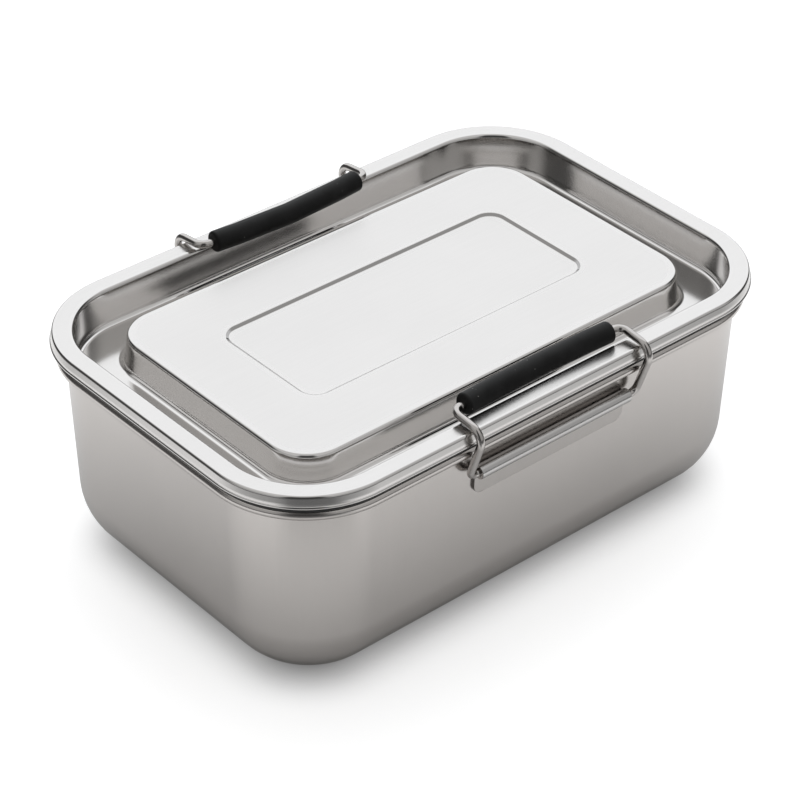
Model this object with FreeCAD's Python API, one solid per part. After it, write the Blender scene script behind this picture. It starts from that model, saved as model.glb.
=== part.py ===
import FreeCAD
import Part
import math
import os

# Steel lunch box: a deep-drawn tub, a drawn lid with a silicone seal in its rim, and a wire clip on each long side.
# Millimetres, +Z up. X runs along the long sides and the front clip is on the -Y side.
# The origin is the middle of the tub's base, on the surface that the box stands on.

# Overall size, over the lid's skirt and up to the flat top of its rim
box_height = 78.0
rim_length = 201.0
rim_width = 134.8
rim_corner_radius = 32.4
sheet = 0.6

# Lid
rim_outer_edge_radius = 1.0
rim_inner_edge_radius = 1.3
rim_top_width = 6.95
skirt_height = 3.7
hem_radius = 0.55
hem_overhang = 0.3
channel_depth = 12.8
channel_fillet = 1.8
channel_wall_lean = 0.35
panel_inset = 21.7
panel_drop = 2.3
panel_corner_radius = 13.5
panel_edge_radius = 1.2
panel_wall_lean = 0.45
recess_inset = 45.4
recess_corner_radius = 5.8
recess_depth = 0.55
recess_slope_run = 0.8
recess_edge_radius = 1.4
flat_margin = 3.2

# Tub
wall_inset = 3.85
corner_ease = 1.1
wall_top_drop = 12.0
wall_draft = 1.9
bottom_radius = 23.5
base_margin = 2.0
bead_drop = 7.85
bead_radius = 1.8
bead_sweep = 300.0

# Seal
seal_side_clearance = 0.25
seal_bead_gap = 0.05
seal_edge_radius = 0.8

# Clips
clip_offset = 0.7
clip_sheet = 0.9
wire_diameter = 2.5
foot_clearance = 0.08
foot_length = 12.0
knuckle_length = 60.0
knuckle_drop = 16.7
knuckle_sweep = 296.0
plate_reach = 9.3
plate_corner_radius = 3.2
arm_spacing = 67.0
arm_corner_out = 4.2
arm_corner_rise = 1.1
foot_bend_radius = 2.6
rim_bend_radius = 4.3
crossbar_bend_radius = 3.2
crossbar_inset = 9.4
crossbar_bow = 1.7
crossbar_bow_share = 0.62
swing_clearance = 0.2
sleeve_length = 58.2
sleeve_diameter = 6.9
sleeve_bore_clearance = 0.02
sleeve_edge_radius = 0.9

# Sizes that follow from the ones above
tub_length = rim_length - 2 * wall_inset
tub_width = rim_width - 2 * wall_inset
tub_corner_radius = rim_corner_radius - wall_inset + corner_ease
draft = math.radians(wall_draft)
wire_radius = wire_diameter / 2
knuckle_bore_radius = wire_radius + foot_clearance
knuckle_radius = knuckle_bore_radius + clip_sheet
knuckle_height = box_height - knuckle_drop

up = FreeCAD.Vector(0, 0, 1)
along_x = FreeCAD.Vector(1, 0, 0)


def filleted_path(corners, radii):
    """Straight runs through the corner points, with a tangent arc of the given radius at each inner corner."""
    edges = []
    start = corners[0]
    for before, corner, after, radius in zip(corners, corners[1:], corners[2:], radii):
        inward = (before - corner).normalize()
        outward = (after - corner).normalize()
        half_angle = inward.getAngle(outward) / 2
        reach = radius / math.tan(half_angle)
        bisector = (inward + outward).normalize()
        arc_start = corner + inward * reach
        arc_end = corner + outward * reach
        arc_middle = corner + bisector * (radius / math.sin(half_angle) - radius)
        edges.append(Part.makeLine(start, arc_start))
        edges.append(Part.Arc(arc_start, arc_middle, arc_end).toShape())
        start = arc_end
    edges.append(Part.makeLine(start, corners[-1]))
    return edges


def section_points(*pairs):
    """Points of a cross-section, each given as its distance outward from the outline and its height."""
    return [FreeCAD.Vector(outward, 0, height) for outward, height in pairs]


def sheet_section(edges, thickness):
    """The cross-section of sheet metal whose face follows the edges."""
    return Part.Wire(edges).makeOffset2D(thickness, fill=True, openResult=True)


def rolled_edge(centre, radius, sweep):
    """Where a leaning sheet starts to roll outward about the centre, and the arc that it follows."""

    def turned(degrees):
        angle = math.pi - draft - math.radians(degrees)
        return centre + FreeCAD.Vector(math.cos(angle), 0, math.sin(angle)) * radius

    return turned(0), Part.Arc(turned(0), turned(sweep / 2), turned(sweep)).toShape()


def swept_ring(section, length, width, corner_radius):
    """The section carried round a rounded rectangle, as four corners and four straight runs."""
    pieces = []
    span_x = length / 2 - corner_radius
    span_y = width / 2 - corner_radius
    at_corner = section.translated(along_x * corner_radius)
    for quarter, (side_x, side_y) in enumerate(((1, 1), (-1, 1), (-1, -1), (1, -1))):
        centre = FreeCAD.Vector(side_x * span_x, side_y * span_y, 0)
        start = at_corner.rotated(FreeCAD.Vector(), up, 90 * quarter).translated(centre)
        run = 2 * (span_y if quarter % 2 == 0 else span_x)
        backward = FreeCAD.Rotation(up, 90 * quarter).multVec(FreeCAD.Vector(0, -run, 0))
        pieces.append(start.revolve(centre, up, 90))
        pieces.append(start.extrude(backward))
    return pieces


def flat_sheet(inset, radius, top):
    """A flat sheet below the given height, with a rounded outline that lies inside the lid's skirt by the inset."""
    x = rim_length / 2 - inset
    y = rim_width / 2 - inset
    outline = ((0, -y), (x, -y), (x, y), (-x, y), (-x, -y), (0, -y))
    corners = [FreeCAD.Vector(*point, top) for point in outline]
    return Part.Face(Part.Wire(filleted_path(corners, [radius] * 4))).extrude(up * -sheet)


def joined(pieces):
    """One solid from pieces that share faces."""
    return pieces[0].multiFuse(pieces[1:]).removeSplitter().Solids[0]


def wall_face(height):
    """Distance of the front wall's outer face from the middle of the box."""
    return tub_width / 2 - (box_height - wall_top_drop - height) * math.tan(draft)


knuckle_out = wall_face(knuckle_height) + knuckle_radius / math.cos(draft)


def make_tub():
    """Deep-drawn tub: the sheet runs from the base round the bottom radius, up the wall and over into a bead."""
    bead_height = box_height - bead_drop
    wall_at_bead = wall_face(bead_height) - tub_width / 2
    bead_centre = FreeCAD.Vector(wall_at_bead + (bead_radius - sheet) / math.cos(draft), 0, bead_height)
    wall_head, bead = rolled_edge(bead_centre, bead_radius, bead_sweep)
    wall_foot = wall_head.x - (wall_head.z - sheet) * math.tan(draft)
    base_edge = wall_foot - bottom_radius - base_margin
    base_end, wall_corner = section_points((base_edge, sheet), (wall_foot, sheet))
    edges = filleted_path([base_end, wall_corner, wall_head], [bottom_radius - sheet]) + [bead]
    ring = swept_ring(sheet_section(edges, -sheet), tub_length, tub_width, tub_corner_radius)
    base = flat_sheet(wall_inset - base_edge, tub_corner_radius + base_edge, sheet)
    return joined(ring + [base])


def make_lid():
    """Drawn lid: hemmed skirt, flat rim, channel, raised panel and the shallow recess in the panel."""
    floor = box_height - channel_depth
    panel_top = box_height - panel_drop
    recess_floor = panel_top - recess_depth
    rim_radius = rim_corner_radius
    skirt_foot = box_height - skirt_height

    channel_wall = rim_top_width + channel_wall_lean
    rim_end = channel_wall + flat_margin
    rim_line = section_points(
        (0, skirt_foot), (0, box_height), (-rim_top_width, box_height), (-channel_wall, floor), (-rim_end, floor)
    )
    rim_edges = filleted_path(rim_line, [rim_outer_edge_radius, rim_inner_edge_radius, channel_fillet])
    pieces = swept_ring(sheet_section(rim_edges, sheet), rim_length, rim_width, rim_radius)

    hem_centre = FreeCAD.Vector(hem_overhang - hem_radius, 0, skirt_foot)
    hem = Part.Face(Part.Wire(Part.makeCircle(hem_radius, hem_centre, FreeCAD.Vector(0, 1, 0))))
    pieces += swept_ring(hem, rim_length, rim_width, rim_radius)

    panel_length = rim_length - 2 * panel_inset
    panel_width = rim_width - 2 * panel_inset
    panel_end = panel_wall_lean + flat_margin
    panel_line = section_points(
        (panel_end, floor), (panel_wall_lean, floor), (0, panel_top), (-flat_margin, panel_top)
    )
    panel_edges = filleted_path(panel_line, [channel_fillet, panel_edge_radius])
    pieces += swept_ring(sheet_section(panel_edges, sheet), panel_length, panel_width, panel_corner_radius)

    recess_length = rim_length - 2 * recess_inset
    recess_width = rim_width - 2 * recess_inset
    half_run = recess_slope_run / 2
    recess_line = section_points(
        (flat_margin, panel_top), (half_run, panel_top), (-half_run, recess_floor), (-flat_margin, recess_floor)
    )
    recess_edges = filleted_path(recess_line, [recess_edge_radius] * 2)
    pieces += swept_ring(sheet_section(recess_edges, sheet), recess_length, recess_width, recess_corner_radius)

    channel_floor = flat_sheet(rim_end, rim_radius - rim_end, floor)
    panel_hole = flat_sheet(panel_inset - panel_end, panel_corner_radius + panel_end, floor)
    panel_flat = flat_sheet(panel_inset + flat_margin, panel_corner_radius - flat_margin, panel_top)
    recess_hole = flat_sheet(recess_inset - flat_margin, recess_corner_radius + flat_margin, panel_top)
    recess_flat = flat_sheet(recess_inset + flat_margin, recess_corner_radius - flat_margin, recess_floor)
    return joined(pieces + [channel_floor.cut(panel_hole), panel_flat.cut(recess_hole), recess_flat])


def make_lid_seal():
    """Silicone ring that fills the lid's rim between its skirt and the channel wall, down to the tub's bead."""
    outer = -sheet - seal_side_clearance
    inner = sheet + seal_side_clearance - rim_top_width
    middle = (outer + inner) / 2
    top = box_height - sheet
    bottom = box_height - bead_drop + bead_radius + seal_bead_gap
    line = section_points(
        (middle, top), (outer, top), (outer, bottom), (inner, bottom), (inner, top), (middle, top)
    )
    section = Part.Face(Part.Wire(filleted_path(line, [seal_edge_radius] * 4)))
    return joined(swept_ring(section, rim_length, rim_width, rim_corner_radius))


def make_clip_plate():
    """Plate that lies on the wall, with its upper edge rolled outward into a knuckle and round lower corners."""
    plate_foot_height = knuckle_height - plate_reach
    knuckle_centre = FreeCAD.Vector(knuckle_out, 0, knuckle_height)
    plate_head, knuckle = rolled_edge(knuckle_centre, knuckle_radius, knuckle_sweep)
    plate_foot = FreeCAD.Vector(wall_face(plate_foot_height), 0, plate_foot_height)
    section = sheet_section([Part.makeLine(plate_foot, plate_head), knuckle], -clip_sheet)
    at_front = section.rotated(FreeCAD.Vector(), up, -90).translated(along_x * (-knuckle_length / 2))
    plate = at_front.extrude(along_x * knuckle_length)
    lower_corners = [
        edge
        for edge in plate.Edges
        if edge.CenterOfMass.z < knuckle_height - knuckle_radius and edge.Length < 2 * clip_sheet
    ]
    return plate.makeFillet(plate_corner_radius, lower_corners).Solids[0]


def front_point(x, outward, height):
    """A point of the front clip, given by its distance in front of the middle of the box."""
    return FreeCAD.Vector(x, -outward, height)


def crossbar_corners():
    """The crossbar's left end, the corner of its bow and its right end, high enough to swing clear of the rim."""
    rim_edge_out = rim_width / 2 - rim_top_width + rim_inner_edge_radius - knuckle_out
    rim_edge_up = knuckle_drop - rim_inner_edge_radius
    rim_reach = math.hypot(rim_edge_out, rim_edge_up) + rim_inner_edge_radius
    swing_radius = rim_reach + sleeve_diameter / 2 + swing_clearance
    bar_out = rim_width / 2 - crossbar_inset
    bar_up = math.sqrt(swing_radius**2 - (knuckle_out - bar_out) ** 2)
    tilt = math.atan2(knuckle_out - bar_out, bar_up)
    corner_shift = crossbar_bow / (1 - crossbar_bow_share / 2)
    bow_out = bar_out - corner_shift * math.cos(tilt)
    bow_up = bar_up - corner_shift * math.sin(tilt)
    return (
        front_point(-arm_spacing / 2, bar_out, knuckle_height + bar_up),
        front_point(0, bow_out, knuckle_height + bow_up),
        front_point(arm_spacing / 2, bar_out, knuckle_height + bar_up),
    )


def bow_radius(left, middle, right):
    """Radius of the bow's arc, whose ends lie a set share of the way out to the crossbar's ends."""
    half_angle = (left - middle).getAngle(right - middle) / 2
    return crossbar_bow_share * (left - middle).Length * math.tan(half_angle)


def bar_along(edges, radius):
    """A round bar along the edges."""
    first = edges[0]
    start = first.valueAt(first.FirstParameter)
    direction = first.tangentAt(first.FirstParameter)
    end_ring = Part.Wire(Part.makeCircle(radius, start, direction))
    return Part.Wire(edges).makePipeShell([end_ring], True, False)


def make_clip_wire():
    """One bent wire: foot, arm out past the rim and back over it, bowed crossbar, and the same again."""
    left, middle, right = crossbar_corners()
    half = arm_spacing / 2
    foot_end = knuckle_length / 2 - foot_length
    rim_corner_out = rim_width / 2 + arm_corner_out
    rim_corner_height = box_height + arm_corner_rise
    corners = [
        front_point(-foot_end, knuckle_out, knuckle_height),
        front_point(-half, knuckle_out, knuckle_height),
        front_point(-half, rim_corner_out, rim_corner_height),
        left,
        middle,
        right,
        front_point(half, rim_corner_out, rim_corner_height),
        front_point(half, knuckle_out, knuckle_height),
        front_point(foot_end, knuckle_out, knuckle_height),
    ]
    side_radii = [foot_bend_radius, rim_bend_radius, crossbar_bend_radius]
    radii = side_radii + [bow_radius(left, middle, right)] + side_radii[::-1]
    return bar_along(filleted_path(corners, radii), wire_radius)


def make_clip_sleeve():
    """Silicone grip on the crossbar, with rounded ends."""
    left, middle, right = crossbar_corners()
    radius = bow_radius(left, middle, right)
    length_share = sleeve_length / arm_spacing
    grip_left = middle + (left - middle) * length_share
    grip_right = middle + (right - middle) * length_share
    grip = bar_along(filleted_path([grip_left, middle, grip_right], [radius]), sleeve_diameter / 2)
    end_rims = [edge for edge in grip.Edges if abs(edge.CenterOfMass.x) > sleeve_length / 2 - sleeve_edge_radius]
    bore = bar_along(filleted_path([left, middle, right], [radius]), wire_radius + sleeve_bore_clearance)
    return grip.makeFillet(sleeve_edge_radius, end_rims).cut(bore).Solids[0]


nodes = {"tub": make_tub(), "lid": make_lid(), "lid_seal": make_lid_seal()}
clip_pieces = {"plate": make_clip_plate(), "wire": make_clip_wire(), "sleeve": make_clip_sleeve()}
for side, turn in (("front", 0), ("back", 180)):
    for piece, shape in clip_pieces.items():
        at_middle = shape.translated(along_x * clip_offset)
        nodes[side + "_clip_" + piece] = at_middle.rotated(FreeCAD.Vector(), up, turn)

os.makedirs("parts", exist_ok=True)
for name, shape in nodes.items():
    shape.exportStep("parts/" + name + ".step")
    print(name, shape.ShapeType, shape.isValid(), round(shape.Volume, 1))
print("clip axis: y", round(-knuckle_out, 4), "z", round(knuckle_height, 4))
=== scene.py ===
import math

import bpy
from mathutils import Matrix, Vector


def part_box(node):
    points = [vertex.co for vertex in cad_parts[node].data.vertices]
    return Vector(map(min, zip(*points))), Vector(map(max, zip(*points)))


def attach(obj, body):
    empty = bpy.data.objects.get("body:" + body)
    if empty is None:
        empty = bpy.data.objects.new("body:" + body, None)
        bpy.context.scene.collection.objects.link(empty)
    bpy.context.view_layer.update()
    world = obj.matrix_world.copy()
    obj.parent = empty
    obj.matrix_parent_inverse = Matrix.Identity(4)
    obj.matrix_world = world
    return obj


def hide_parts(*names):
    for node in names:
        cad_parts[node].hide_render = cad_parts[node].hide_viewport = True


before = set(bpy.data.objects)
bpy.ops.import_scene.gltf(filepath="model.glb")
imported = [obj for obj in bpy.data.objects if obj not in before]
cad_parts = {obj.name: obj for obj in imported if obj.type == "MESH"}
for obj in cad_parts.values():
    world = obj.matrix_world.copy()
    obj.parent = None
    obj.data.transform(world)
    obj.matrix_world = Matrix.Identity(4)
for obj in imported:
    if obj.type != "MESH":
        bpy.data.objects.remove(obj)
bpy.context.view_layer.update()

# Tub: deep-drawn from one sheet of satin stainless steel, with walls that lean out to leave the press.
# Its edge is rolled outward into a smoother bead, which stiffens the mouth and carries the lid's seal.
sheet = 0.0006
wall_lean = math.radians(1.9)
bottom_radius = 0.0235
base_margin = 0.002
bead_radius = 0.0018
bead_sweep = math.radians(300)
tub_corner_radius = 0.03279
bend_steps = 14
corner_steps = 28
sharp_edge = math.radians(38)
merge_reach = 1e-7
tub_steel = (0.58, 0.552, 0.53)
tub_satin = 0.26
tub_polished = 0.10
tub_grain = (900, 900, 60)
bead_polish = 0.3


class Flow:
    """A socket of a node tree. Arithmetic on flows and numbers adds Math nodes to that tree."""

    def __init__(self, tree, socket=None):
        self.tree = tree
        self.socket = socket

    def node(self, kind, settings=None, sockets=None, output=0):
        """Adds a node. Its settings are set first, then the values or links of its sockets."""
        made = self.tree.nodes.new(kind)
        for name, value in (settings or {}).items():
            setattr(made, name, value)
        for name, value in (sockets or {}).items():
            if isinstance(value, Flow):
                self.tree.links.new(value.socket, made.inputs[name])
            else:
                made.inputs[name].default_value = value
        return Flow(self.tree, made.outputs[output] if len(made.outputs) else None)

    def math(self, operation, *values):
        return self.node("ShaderNodeMath", {"operation": operation}, dict(enumerate((self, *values))))

    def __add__(self, other):
        return self.math("ADD", other)

    __radd__ = __add__

    def __sub__(self, other):
        return self.math("SUBTRACT", other)

    def __rsub__(self, other):
        return self * -1 + other

    def __mul__(self, other):
        return self.math("MULTIPLY", other)

    __rmul__ = __mul__

    def __truediv__(self, other):
        return self.math("DIVIDE", other)

    def fade(self, start, end):
        """0 where the value is at start, 1 where it is at end, and a smooth step between them."""
        sockets = {"Value": self, "From Min": start, "From Max": end}
        return self.node("ShaderNodeMapRange", {"interpolation_type": "SMOOTHSTEP"}, sockets)

    def tint(self, low, high):
        """A colour between low, where the value is 0, and high, where it is 1."""
        low, high = (end if isinstance(end, Flow) else (*end, 1) for end in (low, high))
        return self.node("ShaderNodeMix", {"data_type": "RGBA"}, {0: self, 6: low, 7: high}, output=2)

    def vector(self, operation, *values, output="Vector"):
        sockets = dict(enumerate((self, *values)))
        return self.node("ShaderNodeVectorMath", {"operation": operation}, sockets, output)

    def dot(self, direction):
        """How far the vector points along the direction."""
        return self.vector("DOT_PRODUCT", direction, output="Value")

    def axis(self, name):
        """One part of the vector: X, Y or Z."""
        return self.node("ShaderNodeSeparateXYZ", {}, {0: self}, name)

    def noise(self, scale, detail):
        """Cloudy noise at the place that the vector gives."""
        return self.node("ShaderNodeTexNoise", {}, {"Vector": self, "Scale": scale, "Detail": detail})


def group_inputs(tree, kinds):
    """Gives a node group its named inputs and its output, and returns each input as a flow."""
    for name, kind in kinds.items():
        tree.interface.new_socket(name, in_out="INPUT", socket_type="NodeSocket" + kind)
    tree.interface.new_socket("Piece", in_out="OUTPUT", socket_type="NodeSocketGeometry")
    node = tree.nodes.new("NodeGroupInput")
    return {name: Flow(tree, node.outputs[name]) for name in kinds}


def group_output(made, finish):
    """Ends a node group: faces smooth, edges sharper than the limit kept, then the finish."""
    smooth = made.node("GeometryNodeSetShadeSmooth", {"domain": "FACE"}, {"Geometry": made})
    turn = made.node("GeometryNodeInputMeshEdgeAngle")
    sharp = turn.math("GREATER_THAN", sharp_edge)
    creases = {"Geometry": smooth, "Selection": sharp, "Shade Smooth": False}
    creased = made.node("GeometryNodeSetShadeSmooth", {"domain": "EDGE"}, creases)
    real = made.node("GeometryNodeRealizeInstances", {}, {"Geometry": creased})
    finished = made.node("GeometryNodeSetMaterial", {}, {"Geometry": real, "Material": finish})
    output = made.tree.nodes.new("NodeGroupOutput")
    made.tree.links.new(finished.socket, output.inputs["Piece"])


def carried_round_tree():
    """A section carried round a rounded rectangle. Each point holds its distance outward, ease and height.

    Ease is what the corner's radius has beyond the one that the distance outward gives it.
    """
    tree = bpy.data.node_groups.new("carried_round", "GeometryNodeTree")
    kinds = {"Section": "Geometry", "Length": "Float", "Width": "Float", "Corner Radius": "Float"}
    kinds.update({"Corner Steps": "Int", "Finish": "Material"})
    given = group_inputs(tree, kinds)
    flow = Flow(tree)
    steps = given["Corner Steps"]
    count = flow.node("GeometryNodeAttributeDomainSize", {}, {"Geometry": given["Section"]})
    rings = {"Vertices X": (steps + 1) * 4 + 1, "Vertices Y": count}
    grid = flow.node("GeometryNodeMeshGrid", {}, rings)
    index = flow.node("GeometryNodeInputIndex")
    ring = (index / count).math("FLOOR")
    along = index - ring * count
    quarter = (ring / (steps + 1)).math("FLOOR")
    angle = (quarter + (ring - quarter * (steps + 1)) / steps) * (math.pi / 2)
    facing = (quarter + 0.5) * (math.pi / 2)

    def at_section(value, kind):
        sockets = {"Geometry": given["Section"], "Value": value, "Index": along}
        return flow.node("GeometryNodeSampleIndex", {"data_type": kind}, sockets)

    point = at_section(flow.node("GeometryNodeInputPosition"), "FLOAT_VECTOR")
    outward, ease, height = (point.axis(name) for name in "XYZ")
    radius = given["Corner Radius"] + outward + ease
    run_x = given["Length"] / 2 + outward - radius
    run_y = given["Width"] / 2 + outward - radius
    x = facing.math("COSINE").math("SIGN") * run_x + angle.math("COSINE") * radius
    y = facing.math("SINE").math("SIGN") * run_y + angle.math("SINE") * radius
    place = flow.node("ShaderNodeCombineXYZ", {}, {"X": x, "Y": y, "Z": height})
    shell = flow.node("GeometryNodeSetPosition", {}, {"Geometry": grid, "Position": place})
    polish = flow.node("GeometryNodeInputNamedAttribute", {"data_type": "FLOAT"}, {"Name": "polish"})
    stored = {"Geometry": shell, "Name": "polish", "Value": at_section(polish, "FLOAT")}
    shell = flow.node("GeometryNodeStoreNamedAttribute", {"data_type": "FLOAT"}, stored)
    shell = flow.node("GeometryNodeMergeByDistance", {}, {"Geometry": shell, "Distance": merge_reach})
    group_output(shell, given["Finish"])
    return tree


def placed(name, data):
    """An object with the data, in the scene."""
    thing = bpy.data.objects.new(name, data)
    bpy.context.scene.collection.objects.link(thing)
    return thing


def settled(piece):
    """The piece with the shape that its modifiers give it as a plain mesh, shaded by its larger faces."""
    normals = piece.modifiers.new("normals", "WEIGHTED_NORMAL")
    normals.keep_sharp = True
    evaluated = piece.evaluated_get(bpy.context.evaluated_depsgraph_get())
    piece.data = bpy.data.meshes.new_from_object(evaluated)
    piece.data.name = piece.name
    piece.modifiers.clear()
    return piece


def shaped(name, points, tree, sizes, attributes):
    """An object whose mesh the node group makes from a line of points, with each point's named values."""
    line = bpy.data.meshes.new(name)
    line.from_pydata(points, [(i, i + 1) for i in range(len(points) - 1)], [])
    for title, values in attributes.items():
        line.attributes.new(title, "FLOAT", "POINT").data.foreach_set("value", values)
    piece = placed(name, line)
    modifier = piece.modifiers.new("shape", "NODES")
    modifier.node_group = tree
    for item in tree.interface.items_tree:
        if item.name in sizes:
            modifier[item.identifier] = sizes[item.name]
    return settled(piece)


def arc(middle, radius, start, turn):
    """Points of an arc in a section, from the start angle through the turn."""
    steps = max(2, math.ceil(abs(turn) / (math.pi / 2) * bend_steps))
    angles = [start + turn * i / steps for i in range(steps + 1)]
    return [middle + Vector((math.cos(angle), math.sin(angle))) * radius for angle in angles]


def bent(corners, radii):
    """A line through the corners, as its two ends and an arc of the given radius at each corner between."""
    stretches = [[corners[0]]]
    for before, corner, after, radius in zip(corners, corners[1:], corners[2:], radii):
        inward = (before - corner).normalized()
        outward = (after - corner).normalized()
        half = inward.angle(outward) / 2
        middle = corner + (inward + outward).normalized() * (radius / math.sin(half))
        first = corner + inward * (radius / math.tan(half)) - middle
        last = corner + outward * (radius / math.tan(half)) - middle
        turn = math.pi - 2 * half
        steps = max(2, math.ceil(turn / (math.pi / 2) * bend_steps))
        parts = [turn * i / steps for i in range(steps + 1)]
        bend = [(first * math.sin(turn - part) + last * math.sin(part)) / math.sin(turn) for part in parts]
        stretches.append([middle + point for point in bend])
    return stretches + [[corners[-1]]]


def beside(line, distance):
    """The line moved sideways to its left by the distance."""
    moved = []
    for i, point in enumerate(line):
        before = (point - line[i - 1]).normalized() if i else None
        after = (line[i + 1] - point).normalized() if i + 1 < len(line) else before
        before = before or after
        left = Vector((-(before + after).y, (before + after).x)).normalized()
        moved.append(point + left * (distance / left.dot(Vector((-after.y, after.x)))))
    return moved


def empty_finish(name):
    """A material with no nodes yet, and the flow that adds them."""
    material = bpy.data.materials.new(name)
    material.use_nodes = True
    material.node_tree.nodes.clear()
    return material, Flow(material.node_tree)


def satin_steel(name, colour, satin, polished, grain):
    """Stainless steel: satin with a fine grain, and smoother where forming has polished it.

    A polish above 1 darkens the colour towards black by its excess, as painted shade.
    """
    cloud_scale = 38.0
    dust_scale = 9000.0
    grain_detail = 3.0
    cloud_detail = 2.0
    dust_detail = 1.0
    shade_low = 0.3
    shade_high = 0.7
    shade_spread = 0.015
    rough_spread = 0.02
    grain_share = 0.7
    bump_strength = 0.008
    bump_depth = 0.00001
    material, flow = empty_finish(name)
    place = flow.node("ShaderNodeTexCoord", output="Object")
    polish_and_painted_shade = flow.node("ShaderNodeAttribute", {"attribute_name": "polish"}, output="Fac")
    polish = polish_and_painted_shade.math("MINIMUM", 1.0)
    painted_shade = polish_and_painted_shade - polish
    lines = place.vector("MULTIPLY", grain).noise(1.0, grain_detail)
    cloud = place.noise(cloud_scale, cloud_detail)
    dust = place.noise(dust_scale, dust_detail)
    bare = 1 - polish
    shade = (cloud + lines) / 2
    darker = tuple(tone * (1 - shade_spread) for tone in colour)
    brighter = tuple(tone * (1 + shade_spread) for tone in colour)
    base = shade.fade(shade_low, shade_high).tint(darker, brighter)
    # The excess of polish over 1 is painted shade, darkening the colour towards black.
    base = painted_shade.tint(base, (0, 0, 0))
    uneven = (bare * (lines - 0.5) + (cloud - 0.5)) * rough_spread
    rough = bare * (satin - polished) + polished + uneven
    height = bare * (lines * grain_share + dust * (1 - grain_share))
    bump = {"Height": height, "Strength": bump_strength, "Distance": bump_depth}
    normal = flow.node("ShaderNodeBump", {}, bump)
    finish = {"Base Color": base, "Metallic": 1.0, "Roughness": rough, "Normal": normal}
    surface = flow.node("ShaderNodeBsdfPrincipled", {}, finish)
    flow.node("ShaderNodeOutputMaterial", {}, {"Surface": surface})
    return material


carried_round = carried_round_tree()
tub_low, tub_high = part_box("tub")
tub_length = tub_high.x - tub_low.x
tub_width = tub_high.y - tub_low.y
bead_middle = Vector((-bead_radius, tub_high.z - bead_radius))
bead_start = math.pi - wall_lean
bead = arc(bead_middle, bead_radius, bead_start, -bead_sweep)
wall_foot = bead[0].x - (bead[0].y - sheet) * math.tan(wall_lean)
base_edge = wall_foot - bottom_radius - base_margin
wall_line = [Vector((base_edge, sheet)), Vector((wall_foot, sheet)), bead[0]]
drawn = sum(bent(wall_line, [bottom_radius - sheet])[:-1], []) + bead
inside = [(point.x, 0, point.y) for point in drawn]
outside = [(point.x, 0, point.y) for point in beside(drawn, -sheet)]
middle_ease = tub_width / 2 - tub_corner_radius
inside_middle = (-tub_width / 2, middle_ease, sheet)
outside_middle = (-tub_width / 2, middle_ease, 0)
tub_points = [inside_middle, *inside, *outside[::-1], outside_middle]
bead_points = len(bead)
wall_points = len(drawn) - bead_points + 1
tub_polish = [0.0] * wall_points + [bead_polish] * (2 * bead_points) + [0.0] * wall_points
tub_finish = satin_steel("tub_satin_steel", tub_steel, tub_satin, tub_polished, tub_grain)
tub_sizes = {"Length": tub_length, "Width": tub_width, "Corner Radius": tub_corner_radius}
tub_sizes.update({"Corner Steps": corner_steps, "Finish": tub_finish})
tub = shaped("tub_shell", tub_points, carried_round, tub_sizes, {"polish": tub_polish})
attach(tub, "box")
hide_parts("tub")

# Clip plates: strips of thicker steel, spot-welded to the middle of the long walls.
# The upper edge of each is rolled outward into the knuckle that the clip's wire turns in.
clip_sheet = 0.0009
clip_offset = 0.0007
knuckle_radius = 0.00223
knuckle_sweep = math.radians(296)
knuckle_length = 0.060
plate_corner = 0.0032
plate_edge = 0.0003
plate_edge_steps = 3
rim_finish_step = 1
plate_columns = 25
plate_corner_steps = 9
plate_satin = 0.30
plate_polished = 0.10
knuckle_polish = 0.3
knuckle_grain = (60, 900, 900)
sheared_rough = 0.45
plate_steel = (0.48, 0.457, 0.438)
knuckle_steel = (0.56, 0.55, 0.54)
# The cut rim and eased edges of each plate are painted dark: a painted shade line along them.
painted_edge_shade_steel = (0.16, 0.152, 0.146)

plate_low, plate_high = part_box("front_clip_plate")
knuckle_out = -plate_low.y - knuckle_radius
knuckle_height = plate_high.z - knuckle_radius
knuckle_middle = Vector((knuckle_out, knuckle_height))
roll = arc(knuckle_middle, knuckle_radius - clip_sheet / 2, math.pi - wall_lean, -knuckle_sweep)
corner_angles = [math.pi / 2 * i / plate_corner_steps for i in range(plate_corner_steps + 1)]
plate_heights = [plate_low.z + plate_corner * (1 - math.cos(angle)) for angle in corner_angles]
plate_line = [Vector((roll[0].x - (roll[0].y - z) * math.tan(wall_lean), z)) for z in plate_heights]
plate_halves = [knuckle_length / 2 - plate_corner * (1 - math.sin(angle)) for angle in corner_angles]
plate_halves += [knuckle_length / 2] * len(roll)
plate_rows = plate_line + roll
plate_polish = [0.0] * len(plate_line) + [knuckle_polish] * len(roll)
plate_finish = satin_steel("plate_steel", plate_steel, plate_satin, plate_polished, tub_grain)
knuckle_finish = satin_steel("knuckle_steel", knuckle_steel, plate_satin, plate_polished, knuckle_grain)
painted_edge_shade_finish = satin_steel("plate_edge_painted_shade", painted_edge_shade_steel, sheared_rough, sheared_rough, tub_grain)


def turned(points, side):
    """Points of the front clip, or the same turned half round for the back clip."""
    sign = 1 if side == "front" else -1
    return [(sign * (x + clip_offset), sign * y, z) for x, y, z in points]


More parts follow.
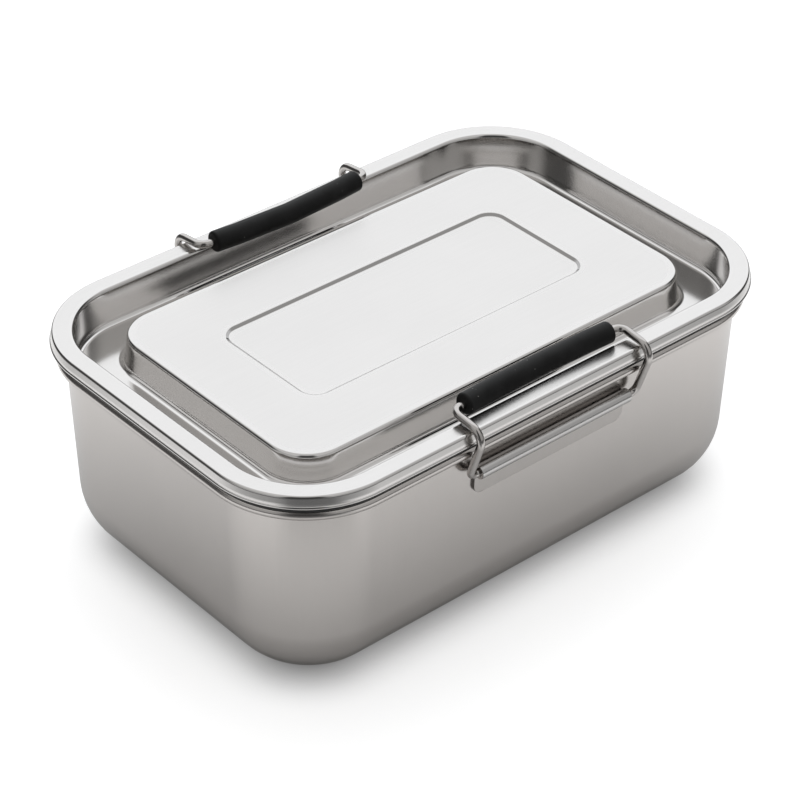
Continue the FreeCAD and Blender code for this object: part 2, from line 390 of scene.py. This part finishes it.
def plate_strip(side):
    """The plate's middle surface, row by row up the sheet, thickened both ways with its edges eased.

    The cut rim takes the finish that comes after its face's own, painted edge shade along the plate, as do
    the eased edges.
    """
    shares = [2 * i / (plate_columns - 1) - 1 for i in range(plate_columns)]
    rows = list(zip(plate_rows, plate_halves))
    points = [(half * share, -place.x, place.y) for place, half in rows for share in shares]
    row_starts = [row * plate_columns for row in range(len(rows) - 1)]
    starts = [start + column for start in row_starts for column in range(plate_columns - 1)]
    faces = [(i, i + 1, i + plate_columns + 1, i + plate_columns) for i in starts]
    mesh = bpy.data.meshes.new(side + "_clip_plate_strip")
    mesh.from_pydata(turned(points, side), [], faces)
    values = [polish for polish in plate_polish for share in shares]
    mesh.attributes.new("polish", "FLOAT", "POINT").data.foreach_set("value", values)
    mesh.shade_smooth()
    finishes = (knuckle_finish, plate_finish, painted_edge_shade_finish)
    for finish in finishes:
        mesh.materials.append(finish)
    flat_faces = len(plate_line) * (plate_columns - 1)
    for face in mesh.polygons[:flat_faces]:
        face.material_index = finishes.index(plate_finish)
    strip = placed(mesh.name, mesh)
    thick = strip.modifiers.new("thick", "SOLIDIFY")
    thick.thickness = clip_sheet
    thick.offset = 0
    thick.use_even_offset = True
    thick.material_offset_rim = rim_finish_step
    eased = strip.modifiers.new("eased", "BEVEL")
    eased.width = plate_edge
    eased.segments = plate_edge_steps
    eased.limit_method = "ANGLE"
    eased.angle_limit = sharp_edge
    eased.material = finishes.index(painted_edge_shade_finish)
    return settled(strip)


for side in ("front", "back"):
    plate = plate_strip(side)
    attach(plate, "box")
    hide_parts(side + "_clip_plate")

# Lid: drawn from one steel sheet, with a hemmed skirt, a flat rim, a channel and a raised, recessed panel.
# Pressing has smoothed the bends and the channel, and the slope of the recess is darkened by painted shade.
# The panel's top keeps the sheet's fine satin.
hem_radius = 0.00055
hem_overhang = 0.0003
rim_corner_radius = 0.0324
rim_outer_edge_radius = 0.0010
shoulder_drop = 0.0028
shoulder_lean = 0.00055
shoulder_radius = 0.0035
rim_inner_edge_radius = 0.0013
rim_top_width = 0.00695
skirt_height = 0.0037
channel_depth = 0.0128
channel_fillet = 0.0018
panel_fillet = 0.0024
channel_wall_lean = 0.00035
panel_inset = 0.0217
panel_drop = 0.0023
panel_corner_radius = 0.0135
panel_edge_radius = 0.0015
panel_wall_lean = 0.0010
recess_inset = 0.0454
recess_corner_radius = 0.0058
recess_depth = 0.00085
recess_slope_run = 0.0013
recess_edge_radius = 0.0006
flat_margin = 0.08
hem_polish = 1.0
# Polish of each bend, from the hem to the middle, and of the flat stretch after each one; above 1, the
# excess is painted shade.
bend_polish = [0.6, 0.35, 1.0, 1.0, 0.8, 0.8, 0.9, 0.4, 0.4, 0.0]
flat_polish_and_painted_shade = [0.35, 0.35, 0.25, 0.5, 0.7, 0.85, 0.0, 1.45, 0.0]
lid_steel = (0.66, 0.645, 0.63)
lid_satin = 0.30
lid_polished = 0.07
lid_grain = (70, 1600, 70)

lid_low, lid_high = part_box("lid")
rim_length = lid_high.x - lid_low.x - 2 * hem_overhang
rim_width = lid_high.y - lid_low.y - 2 * hem_overhang
lid_top = lid_high.z
skirt_foot = lid_top - skirt_height
channel_floor = lid_top - channel_depth
panel_top = lid_top - panel_drop
recess_floor = panel_top - recess_depth
panel_ease = panel_corner_radius - (rim_corner_radius - panel_inset)
recess_ease = recess_corner_radius - (rim_corner_radius - recess_inset)
centre_ease = rim_width / 2 - rim_corner_radius

hem_middle = Vector((hem_overhang - hem_radius, skirt_foot))
outer_meet = math.acos(-hem_middle.x / hem_radius)
inner_meet = math.acos((-sheet - hem_middle.x) / hem_radius)
hem = arc(hem_middle, hem_radius, inner_meet, 2 * math.pi - inner_meet + outer_meet)
# Each corner of the pressed line has its distance outward, its height and the radius of its bend.
lid_corners = [
    (0, hem[-1].y, 0),
    (0, lid_top - shoulder_drop, shoulder_radius),
    (-shoulder_lean, lid_top, rim_outer_edge_radius),
    (-rim_top_width, lid_top, rim_inner_edge_radius),
    (-rim_top_width - channel_wall_lean, channel_floor, channel_fillet),
    (-panel_inset + panel_wall_lean, channel_floor, panel_fillet),
    (-panel_inset, panel_top, panel_edge_radius),
    (-recess_inset + recess_slope_run / 2, panel_top, recess_edge_radius),
    (-recess_inset - recess_slope_run / 2, recess_floor, recess_edge_radius),
    (-rim_width / 2, recess_floor, 0),
]
lid_places = [Vector((outward, height)) for outward, height, radius in lid_corners]
lid_radii = [radius for outward, height, radius in lid_corners[1:-1]]
lid_stretches = bent(lid_places, lid_radii)
bend_ease = [0, 0, 0, 0, 0, panel_ease, panel_ease, recess_ease, recess_ease, centre_ease]
lid_line = []
lid_ease = []
lid_polish_and_painted_shade = []
for i, stretch in enumerate(lid_stretches):
    lid_line += stretch
    lid_ease += [bend_ease[i]] * len(stretch)
    lid_polish_and_painted_shade += [bend_polish[i]] * len(stretch)
    if i < len(flat_polish_and_painted_shade):
        ahead = lid_stretches[i + 1][0]
        lid_line += [stretch[-1].lerp(ahead, flat_margin), stretch[-1].lerp(ahead, 1 - flat_margin)]
        lid_ease += bend_ease[i:i + 2]
        lid_polish_and_painted_shade += [flat_polish_and_painted_shade[i]] * 2
upper = [(point.x, ease, point.y) for point, ease in zip(lid_line, lid_ease)]
lower = [(point.x, ease, point.y) for point, ease in zip(beside(lid_line, sheet), lid_ease)]
lower[-1] = (-rim_width / 2, centre_ease, recess_floor - sheet)
lower[0] = (hem[0].x, 0, hem[0].y)
hem_points = [(point.x, 0, point.y) for point in hem[1:-1]]
lid_points = lower[::-1] + hem_points + upper
lid_values = lid_polish_and_painted_shade[::-1] + [hem_polish] * len(hem_points) + lid_polish_and_painted_shade
lid_finish = satin_steel("lid_satin_steel", lid_steel, lid_satin, lid_polished, lid_grain)
lid_sizes = {"Length": rim_length, "Width": rim_width, "Corner Radius": rim_corner_radius}
lid_sizes.update({"Corner Steps": corner_steps, "Finish": lid_finish})
lid = shaped("lid_shell", lid_points, carried_round, lid_sizes, {"polish": lid_values})
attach(lid, "cover")
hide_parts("lid")

# Lid seal: a moulded ring of dark silicone, pushed up into the hollow under the lid's rim.
# Its grooved underside presses on the tub's bead.
seal_corner = 0.0008
groove_width = 0.0022
groove_depth = 0.0007
groove_edge = 0.0004
groove_bottom = 0.0008
seal_black = (0.02, 0.02, 0.02)
seal_rough = 0.5
seal_sheen = 0.3


def silicone(name, colour, roughness, sheen):
    """Moulded silicone: a soft dull skin with a little sheen, cloudy shades and lint that clings to it."""
    cloud_scale = 160.0
    skin_scale = 4200.0
    cloud_detail = 3.0
    skin_detail = 2.0
    cloud_low = 0.3
    cloud_high = 0.7
    cloud_rough = 0.1
    dull_share = 0.8
    pale_share = 1.25
    pale_lift = 0.004
    speck_scale = 520.0
    speck_edge = 0.11
    speck_core = 0.05
    lint_start = 0.5
    lint_full = 0.62
    lint_colour = (0.4, 0.4, 0.38)
    lint_cover = 0.5
    lint_rough = 0.2
    bump_strength = 0.25
    bump_depth = 0.00003
    material, flow = empty_finish(name)
    place = flow.node("ShaderNodeTexCoord", output="Object")
    cloud = place.noise(cloud_scale, cloud_detail)
    skin = place.noise(skin_scale, skin_detail)
    specks = flow.node("ShaderNodeTexVoronoi", {}, {"Vector": place, "Scale": speck_scale})
    lint = specks.fade(speck_edge, speck_core) * cloud.fade(lint_start, lint_full)
    dull = tuple(tone * dull_share for tone in colour)
    pale = tuple(tone * pale_share + pale_lift for tone in colour)
    base = cloud.fade(cloud_low, cloud_high).tint(dull, pale)
    dusted = (lint * lint_cover).tint(base, lint_colour)
    rough = roughness + (cloud - 0.5) * cloud_rough + lint * lint_rough
    bump = {"Height": skin, "Strength": bump_strength, "Distance": bump_depth}
    normal = flow.node("ShaderNodeBump", {}, bump)
    finish = {"Base Color": dusted, "Roughness": rough, "Normal": normal, "Specular IOR Level": sheen}
    surface = flow.node("ShaderNodeBsdfPrincipled", {}, finish)
    flow.node("ShaderNodeOutputMaterial", {}, {"Surface": surface})
    return material


seal_low, seal_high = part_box("lid_seal")
seal_outer = seal_high.x - rim_length / 2
seal_inner = -rim_top_width - seal_outer
seal_middle = (seal_outer + seal_inner) / 2
seal_corners = [
    Vector((seal_middle, seal_high.z)),
    Vector((seal_outer, seal_high.z)),
    Vector((seal_outer, seal_low.z)),
    Vector((seal_middle + groove_width / 2, seal_low.z)),
    Vector((seal_middle, seal_low.z + groove_depth)),
    Vector((seal_middle - groove_width / 2, seal_low.z)),
    Vector((seal_inner, seal_low.z)),
    Vector((seal_inner, seal_high.z)),
    Vector((seal_middle, seal_high.z)),
]
groove_radii = [groove_edge, groove_bottom, groove_edge]
seal_radii = [seal_corner, seal_corner, *groove_radii, seal_corner, seal_corner]
seal_line = sum(bent(seal_corners, seal_radii), [])
seal_points = [(point.x, 0, point.y) for point in seal_line]
seal_finish = silicone("seal_silicone", seal_black, seal_rough, seal_sheen)
seal_sizes = {"Length": rim_length, "Width": rim_width, "Corner Radius": rim_corner_radius}
seal_sizes.update({"Corner Steps": corner_steps, "Finish": seal_finish})
seal_polish = [0.0] * len(seal_points)
seal = shaped("lid_seal_ring", seal_points, carried_round, seal_sizes, {"polish": seal_polish})
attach(seal, "cover")
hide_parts("lid_seal")

# Clip wires: polished spring wire, bent cold in one length from foot to foot, with its feet in the knuckle.
# The arms stand off the rim, come back over it and end in the bowed crossbar that snaps down inside it.
wire_radius = 0.00125
wire_sides = 24
foot_length = 0.012
arm_spacing = 0.067
arm_corner_out = 0.0042
arm_corner_rise = 0.0011
foot_bend_radius = 0.0026
rim_bend_radius = 0.0043
crossbar_bend_radius = 0.0032
# The crossbar's ends and the middle of its bow, as distance outward and height.
crossbar_end = (0.058, 0.080684)
crossbar_bow = (0.055707, 0.079782)
bow_share = 0.62
wire_steel = (0.50, 0.478, 0.46)
wire_satin = 0.17
wire_polished = 0.08
wire_grain = (300, 300, 300)


def round_bar_tree():
    """A round bar along a line of points. Each point holds the bar's radius there."""
    tree = bpy.data.node_groups.new("round_bar", "GeometryNodeTree")
    kinds = {"Line": "Geometry", "Sides": "Int", "Finish": "Material"}
    given = group_inputs(tree, kinds)
    flow = Flow(tree)
    curve = flow.node("GeometryNodeMeshToCurve", {}, {"Mesh": given["Line"]})
    girth = flow.node("GeometryNodeInputNamedAttribute", {"data_type": "FLOAT"}, {"Name": "girth"})
    ring = flow.node("GeometryNodeCurvePrimitiveCircle", {}, {"Resolution": given["Sides"], "Radius": 1.0})
    sockets = {"Curve": curve, "Profile Curve": ring, "Scale": girth, "Fill Caps": True}
    group_output(flow.node("GeometryNodeCurveToMesh", {}, sockets), given["Finish"])
    return tree


def front_point(x, place):
    """A point of the front clip, from its place as distance outward and height."""
    return Vector((x, -place[0], place[1]))


round_bar = round_bar_tree()
half_arms = arm_spacing / 2
foot_end = knuckle_length / 2 - foot_length
rim_place = (rim_width / 2 + arm_corner_out, lid_top + arm_corner_rise)
bar_left = front_point(-half_arms, crossbar_end)
bar_middle = front_point(0, crossbar_bow)
bar_right = front_point(half_arms, crossbar_end)
bow_half_angle = (bar_left - bar_middle).angle(bar_right - bar_middle) / 2
bow_radius = bow_share * (bar_left - bar_middle).length * math.tan(bow_half_angle)
wire_corners = [
    front_point(-foot_end, knuckle_middle),
    front_point(-half_arms, knuckle_middle),
    front_point(-half_arms, rim_place),
    bar_left,
    bar_middle,
    bar_right,
    front_point(half_arms, rim_place),
    front_point(half_arms, knuckle_middle),
    front_point(foot_end, knuckle_middle),
]
arm_radii = [foot_bend_radius, rim_bend_radius, crossbar_bend_radius]
wire_line = sum(bent(wire_corners, arm_radii + [bow_radius] + arm_radii[::-1]), [])
wire_finish = satin_steel("wire_polished_steel", wire_steel, wire_satin, wire_polished, wire_grain)
wire_sizes = {"Sides": wire_sides, "Finish": wire_finish}
wire_values = {"girth": [wire_radius] * len(wire_line)}
for side in ("front", "back"):
    wire = shaped(side + "_clip_wire_bar", turned(wire_line, side), round_bar, wire_sizes, wire_values)
    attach(wire, side + "_clip")
    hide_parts(side + "_clip_wire")

# Grip sleeves: lengths of black silicone tube, pushed over the crossbars before the wire is closed.
# They follow the crossbar's bow, and their cut ends are rounded down to the bore.
sleeve_length = 0.0582
sleeve_radius = 0.00345
sleeve_bore = 0.00127
sleeve_edge = 0.0009
sleeve_sides = 40
sleeve_edge_steps = 7
bore_depth = 0.00002
sleeve_black = (0.004, 0.004, 0.004)
sleeve_rough = 0.5
sleeve_sheen = 0.22

sleeve_finish = silicone("sleeve_silicone", sleeve_black, sleeve_rough, sleeve_sheen)
grip_share = sleeve_length / arm_spacing
grip_left = bar_middle.lerp(bar_left, grip_share)
grip_right = bar_middle.lerp(bar_right, grip_share)
grip_corners = [grip_left, bar_middle, grip_right]
grip_line = sum(bent(grip_corners, [bow_radius]), [])
end_angles = [math.pi / 2 * i / sleeve_edge_steps for i in range(sleeve_edge_steps + 1)]
end_depths = [-bore_depth] + [sleeve_edge * (1 - math.cos(angle)) for angle in end_angles]
end_radii = [sleeve_bore] + [sleeve_radius - sleeve_edge * (1 - math.sin(angle)) for angle in end_angles]
left_way = (grip_line[1] - grip_line[0]).normalized()
right_way = (grip_line[-2] - grip_line[-1]).normalized()
left_end = [grip_line[0] + left_way * depth for depth in end_depths]
right_end = [grip_line[-1] + right_way * depth for depth in end_depths]
sleeve_line = left_end + grip_line[1:-1] + right_end[::-1]
sleeve_radii = end_radii + [sleeve_radius] * (len(grip_line) - 2) + end_radii[::-1]
sleeve_sizes = {"Sides": sleeve_sides, "Finish": sleeve_finish}
sleeve_values = {"girth": sleeve_radii}
for side in ("front", "back"):
    sleeve = shaped(side + "_clip_grip", turned(sleeve_line, side), round_bar, sleeve_sizes, sleeve_values)
    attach(sleeve, side + "_clip")
    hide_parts(side + "_clip_sleeve")

# Camera: stands in front of the box and to its left, above the lid, with a long lens.
# Its place and angles come from the lid's outlines in the photograph.
view_azimuth = math.radians(-41.01)
view_elevation = math.radians(35.38)
view_roll = math.radians(0.466)
camera_place = Vector((-0.465794, -0.532971, 0.540507))
camera_lens = 124.68
camera_clip = 0.01

right = Vector((math.cos(view_azimuth), math.sin(view_azimuth), 0))
backward = Vector((math.sin(view_azimuth), -math.cos(view_azimuth), 0))
to_camera = backward * math.cos(view_elevation) + Vector((0, 0, math.sin(view_elevation)))
upward = to_camera.cross(right)
camera_data = bpy.data.cameras.new("camera")
camera_data.lens = camera_lens
camera_data.clip_start = camera_clip
camera = placed("camera", camera_data)
axes = Matrix((right, upward, to_camera)).transposed().to_4x4() @ Matrix.Rotation(view_roll, 4, "Z")
camera.matrix_world = Matrix.Translation(camera_place) @ axes
bpy.context.scene.camera = camera
bpy.context.scene.view_settings.view_transform = "Standard"

# Floor: a white sheet that the box stands on, wide enough to fill the view and keeping the box's shadow.
# Its glow fades close to the box as a painted shadow. The steel mirrors it with painted shade,
# darker close to the box, some way out from it and where the camera stands.
floor_reach = 6.0
floor_white = 0.63
floor_glow = 0.6
shadow_start = -0.012
shadow_end = 0.020
mirrored_start = 0.0
mirrored_end = 0.155
far_painted_shade_start = 0.11
far_painted_shade_full = 0.34
far_painted_shade = 0.15
under_camera_start = 0.06
under_camera_full = 0.16
under_camera_shade = 0.95
camera_gap = math.radians(28)
camera_gap_fade = math.radians(14)

base_outward = wall_foot - bottom_radius / 2
base_length = tub_length + 2 * base_outward
base_width = tub_width + 2 * base_outward
base_corner = tub_corner_radius + base_outward
floor_mesh = bpy.data.meshes.new("floor")
floor_ways = ((-1, -1), (1, -1), (1, 1), (-1, 1))
floor_mesh.from_pydata([(x * floor_reach, y * floor_reach, 0) for x, y in floor_ways], [], [(0, 1, 2, 3)])
floor = placed("floor", floor_mesh)
floor_paint, flow = empty_finish("floor_paint")
ray_names = ("Is Camera Ray", "Is Glossy Ray", "Is Transmission Ray")
direct, mirrored, through = (flow.node("ShaderNodeLightPath", output=name) for name in ray_names)
ground = flow.node("ShaderNodeTexCoord", output="Object")
beyond_x = (ground.axis("X").math("ABSOLUTE") - (base_length / 2 - base_corner)).math("MAXIMUM", 0.0)
beyond_y = (ground.axis("Y").math("ABSOLUTE") - (base_width / 2 - base_corner)).math("MAXIMUM", 0.0)
beyond = (beyond_x * beyond_x + beyond_y * beyond_y).math("SQRT") - base_corner
# Both glows fade close to the box: a painted shadow, seen directly and in the steel.
direct_glow = direct * beyond.fade(shadow_start, shadow_end)
mirrored_glow = (mirrored + through) * beyond.fade(mirrored_start, mirrored_end)
glow_strength = (direct_glow + mirrored_glow) * floor_glow
glow = flow.node("ShaderNodeEmission", {}, {"Strength": glow_strength})
lit = flow.node("ShaderNodeBsdfDiffuse", {}, {"Color": (floor_white, floor_white, floor_white, 1)})
both = flow.node("ShaderNodeAddShader", {}, {0: lit, 1: glow})
# The floor as the steel mirrors it is painted dark far out and under the camera: painted shade.
painted_shade_colour = (far_painted_shade, far_painted_shade, far_painted_shade, 1)
painted_shade_floor = flow.node("ShaderNodeBsdfDiffuse", {}, {"Color": painted_shade_colour})
camera_side = ground.vector("NORMALIZE").dot(backward)
camera_side = camera_side.fade(math.cos(camera_gap), math.cos(camera_gap - camera_gap_fade))
under_camera = camera_side * beyond.fade(under_camera_start, under_camera_full) * under_camera_shade
painted_shade_mask = mirrored * beyond.fade(far_painted_shade_start, far_painted_shade_full).math("MAXIMUM", under_camera)
shown = flow.node("ShaderNodeMixShader", {}, {0: painted_shade_mask, 1: both, 2: painted_shade_floor})
flow.node("ShaderNodeOutputMaterial", {}, {"Surface": shown})
floor_mesh.materials.append(floor_paint)

# Room: dark, with one large white panel behind the box.
# Fainter light comes from above and from the sides round to the camera, whose own place is darkest.
# A soft lamp that the steel doesn't mirror fills the shadows.
ceiling_light = 0.07
room_light = 0.5
room_top = 0.62
room_fade = 0.04
side_start = math.radians(75)
side_full = math.radians(105)
side_turn = math.radians(12)
overhead_light = 0.7
overhead_low = 0.52
overhead_high = 0.70
gap_shade = 0.88
gap_top = 0.95
gap_top_low = 0.82
panel_light = 1.29
panel_reach = math.radians(47)
panel_fade = math.radians(9)
room_white = (1, 1, 1)
panel_white = (0.975, 0.995, 1.02)
fill_height = 1.6
fill_size = 1.5
fill_power = 7.5

to_panel = Vector((-to_camera.x, -to_camera.y, to_camera.z))
to_front = backward * math.cos(side_turn) + right * math.sin(side_turn)
world = bpy.data.worlds.new("studio")
bpy.context.scene.world = world
world.use_nodes = True
world.node_tree.nodes.clear()
flow = Flow(world.node_tree)
toward = flow.node("ShaderNodeTexCoord", output="Generated")
level = toward.axis("Z")
flat = toward.vector("MULTIPLY", (1, 1, 0)).vector("NORMALIZE")
beside_box = flat.dot(to_front).fade(-math.cos(side_start), -math.cos(side_full))
walls = level.fade(room_top + room_fade, room_top) * beside_box
overhead = level.fade(overhead_low, overhead_high)
gap = flat.dot(backward).fade(math.cos(camera_gap), math.cos(camera_gap - camera_gap_fade))
gap = gap * level.fade(gap_top, gap_top_low)
panel = toward.dot(to_panel).fade(math.cos(panel_reach), math.cos(panel_reach - panel_fade))
room = walls * (room_light - ceiling_light) + ceiling_light
room = (room * (1 - overhead) + overhead * overhead_light) * (1 - gap * gap_shade)
strength = room * (1 - panel) + panel * panel_light
colour = panel.tint(room_white, panel_white)
background = flow.node("ShaderNodeBackground", {}, {"Color": colour, "Strength": strength})
flow.node("ShaderNodeOutputWorld", {}, {"Surface": background})
fill_lamp = bpy.data.lights.new("fill_lamp", "AREA")
fill_lamp.size = fill_size
fill_lamp.energy = fill_power
fill = placed("fill_lamp", fill_lamp)
fill.location = (0, 0, fill_height)
fill.visible_glossy = False
fill.visible_camera = False
